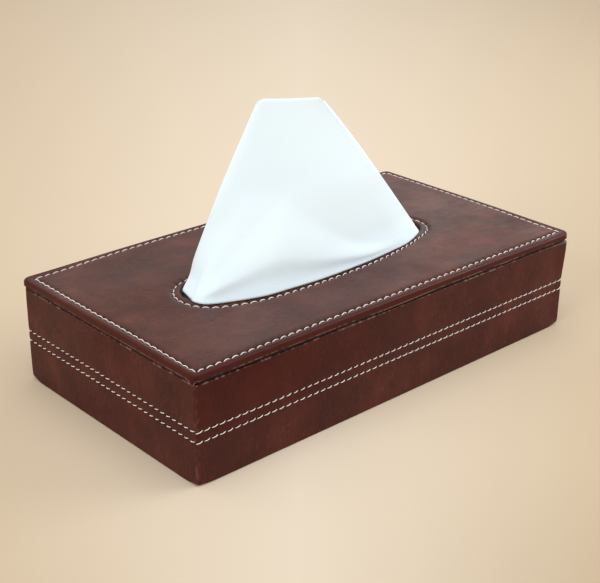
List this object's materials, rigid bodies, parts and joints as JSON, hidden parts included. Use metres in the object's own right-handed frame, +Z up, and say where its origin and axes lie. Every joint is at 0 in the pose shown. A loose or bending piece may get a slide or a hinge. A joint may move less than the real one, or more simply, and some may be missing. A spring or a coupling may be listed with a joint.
{
  "type": "tissue box",
  "caption": "Long leatherette-covered tissue box with a padded lid hinged along its back edge, an oval mouth, contrast stitching and a tissue that pulls up through the mouth.",
  "frame": {"origin": "middle of the case's underside, on the surface that it stands on", "axes": "+X along the long side, -Y the front long side that opens, +Y the hinged back, +Z up"},
  "size_m": [0.2522, 0.1362, 0.1372],
  "materials": {
    "leatherette": "satin brown pull-up leatherette",
    "hinge_leather": "matte brown split leather",
    "fibreboard": "raw medium-density fibreboard",
    "flock": "matte black flocked lining",
    "nonwoven": "black non-woven sheet",
    "foam": "open-cell foam",
    "thread": "waxed cream polyester thread",
    "magnet": "nickel plated",
    "keeper": "mild steel",
    "tissue": "soft white two-ply tissue paper"
  },
  "bodies": {
    "case": {"base_board": "fibreboard", "front_wall_board": "fibreboard", "back_wall_board": "fibreboard", "left_wall_board": "fibreboard", "right_wall_board": "fibreboard", "body_leather_wrap": "leatherette", "wall_lining": "flock", "floor_lining": "flock", "bottom_cover": "nonwoven", "body_upper_thread": "thread", "body_lower_thread": "thread", "wall_magnets": "magnet", "hinge_strip_lower": "hinge_leather", "tissue_stack": "tissue"},
    "lid": {"lid_board": "fibreboard", "lid_padding": "foam", "lid_cover": "leatherette", "lid_lining": "flock", "lid_keeper_plates": "keeper", "lid_border_thread": "thread", "mouth_thread": "thread", "hinge_strip_upper": "hinge_leather", "hinge_fold": "hinge_leather"},
    "tissue": {"tissue_sheet": "tissue"}
  },
  "joints": [
    {"name": "lid_hinge", "type": "hinge", "parent": "case", "child": "lid", "pos_m": [0, 0.06745, 0.04895], "axis": [-1, 0, 0], "range_deg": [0, 105]},
    {"name": "tissue_pull", "type": "slide", "parent": "lid", "child": "tissue", "axis": [0, 0, 1], "range_m": [0, 0.12]}
  ]
}
